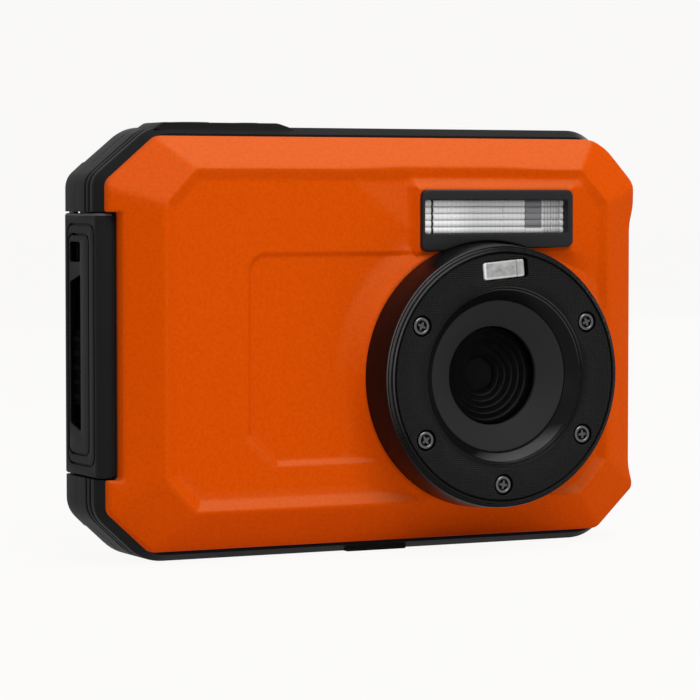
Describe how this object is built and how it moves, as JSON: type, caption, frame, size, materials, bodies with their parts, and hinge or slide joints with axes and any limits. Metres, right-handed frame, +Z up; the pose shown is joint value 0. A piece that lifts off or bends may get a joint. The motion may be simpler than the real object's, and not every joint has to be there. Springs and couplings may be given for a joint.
{
  "type": "rugged compact camera",
  "caption": "Rugged sealed compact camera with a faceted front cover, bumper frame, bolted lens ring, flash and hinged side door.",
  "frame": {"origin": "middle of the base, on the plane the camera stands on", "axes": "+X right seen from the front, -Y the way the lens looks, +Z up"},
  "size_m": [0.0988, 0.0292, 0.0702],
  "materials": {
    "orange_shell": "fine moulded grain",
    "black_shell": "fine moulded grain",
    "ring_black": "satin with fine knurl",
    "dish_grey": "matte",
    "baffle_black": "dull",
    "bezel_black": "satin gloss",
    "control_black": "soft touch",
    "lock_orange": "matte",
    "screw_steel": "dark zinc",
    "bush_brass": "turned",
    "seal_rubber": "soft",
    "clear_glass": "coated",
    "flash_clear": "ruled",
    "lamp_frost": "frosted",
    "display_black": "smooth",
    "bright_metal": "polished",
    "board_green": "solder mask",
    "device_dark": "moulded"
  },
  "bodies": {
    "camera_body": {"front_cover": "orange_shell", "mid_frame": "black_shell", "rear_cover": "black_shell", "front_gasket": "seal_rubber", "rear_gasket": "seal_rubber", "cover_screws": "screw_steel", "battery_bay": "black_shell", "tripod_bush": "bush_brass", "strap_bar": "screw_steel", "lens_ring": "ring_black", "lens_ring_screws": "screw_steel", "ring_gasket": "seal_rubber", "trim_dish": "dish_grey", "lens_baffle": "baffle_black", "window_glass": "clear_glass", "lens_barrel": "baffle_black", "front_lens": "clear_glass", "rear_lens": "clear_glass", "ir_filter": "clear_glass", "image_sensor": "device_dark", "sensor_board": "board_green", "lamp_window": "lamp_frost", "lamp_led": "lamp_frost", "flash_bezel": "bezel_black", "flash_window": "flash_clear", "flash_reflector": "bright_metal", "flash_tube": "clear_glass", "flash_capacitor": "device_dark", "door_hinge_pin": "screw_steel", "battery": "device_dark", "battery_contacts": "bush_brass", "memory_card": "device_dark", "card_socket": "bright_metal", "usb_socket": "bright_metal", "main_board": "board_green", "top_board": "board_green", "button_switches": "device_dark", "key_domes": "bright_metal", "lcd_panel": "device_dark", "lcd_window": "display_black", "rocker_pin": "screw_steel"},
    "door": {"side_door": "black_shell", "door_seal": "seal_rubber"},
    "latch": {"door_latch": "control_black", "latch_hook": "screw_steel"},
    "lock": {"door_lock": "lock_orange"},
    "shutter": {"shutter_button": "control_black"},
    "power": {"power_button": "control_black"},
    "rocker": {"zoom_rocker": "control_black"},
    "key_up_body": {"key_up": "control_black"},
    "key_down_body": {"key_down": "control_black"},
    "key_left_body": {"key_left": "control_black"},
    "key_right_body": {"key_right": "control_black"},
    "key_ok_body": {"key_ok": "control_black"},
    "key_menu_body": {"key_menu": "control_black"},
    "key_play_body": {"key_play": "control_black"}
  },
  "joints": [
    {"name": "door_swing", "type": "hinge", "parent": "camera_body", "child": "door", "pos_m": [-0.048, 0.013, 0.03465], "axis": [0, 0, -1], "range_deg": [0, 100]},
    {"name": "latch_slide", "type": "slide", "parent": "door", "child": "latch", "axis": [0, 0, 1], "range_m": [0, 0.0032]},
    {"name": "lock_slide", "type": "slide", "parent": "door", "child": "lock", "axis": [0, 1, 0], "range_m": [0, 0.0016]},
    {"name": "shutter_press", "type": "slide", "parent": "camera_body", "child": "shutter", "axis": [0, 0, -1], "range_m": [0, 0.0007], "stiffness_N_per_m": 600, "springref_m": -0.0006},
    {"name": "power_press", "type": "slide", "parent": "camera_body", "child": "power", "axis": [0, 0, -1], "range_m": [0, 0.0007], "stiffness_N_per_m": 600, "springref_m": -0.0006},
    {"name": "zoom_tilt", "type": "hinge", "parent": "camera_body", "child": "rocker", "pos_m": [-0.0296, 0.0133, 0.059], "axis": [0, 0, 1], "range_deg": [-4, 4], "stiffness_Nm_per_rad": 0.05},
    {"name": "key_up_press", "type": "slide", "parent": "camera_body", "child": "key_up_body", "axis": [0, -1, 0], "range_m": [0, 0.0006], "stiffness_N_per_m": 600, "springref_m": -0.0006},
    {"name": "key_down_press", "type": "slide", "parent": "camera_body", "child": "key_down_body", "axis": [0, -1, 0], "range_m": [0, 0.0006], "stiffness_N_per_m": 600, "springref_m": -0.0006},
    {"name": "key_left_press", "type": "slide", "parent": "camera_body", "child": "key_left_body", "axis": [0, -1, 0], "range_m": [0, 0.0006], "stiffness_N_per_m": 600, "springref_m": -0.0006},
    {"name": "key_right_press", "type": "slide", "parent": "camera_body", "child": "key_right_body", "axis": [0, -1, 0], "range_m": [0, 0.0006], "stiffness_N_per_m": 600, "springref_m": -0.0006},
    {"name": "key_ok_press", "type": "slide", "parent": "camera_body", "child": "key_ok_body", "axis": [0, -1, 0], "range_m": [0, 0.0006], "stiffness_N_per_m": 600, "springref_m": -0.0006},
    {"name": "key_menu_press", "type": "slide", "parent": "camera_body", "child": "key_menu_body", "axis": [0, -1, 0], "range_m": [0, 0.0006], "stiffness_N_per_m": 600, "springref_m": -0.0006},
    {"name": "key_play_press", "type": "slide", "parent": "camera_body", "child": "key_play_body", "axis": [0, -1, 0], "range_m": [0, 0.0006], "stiffness_N_per_m": 600, "springref_m": -0.0006}
  ]
}
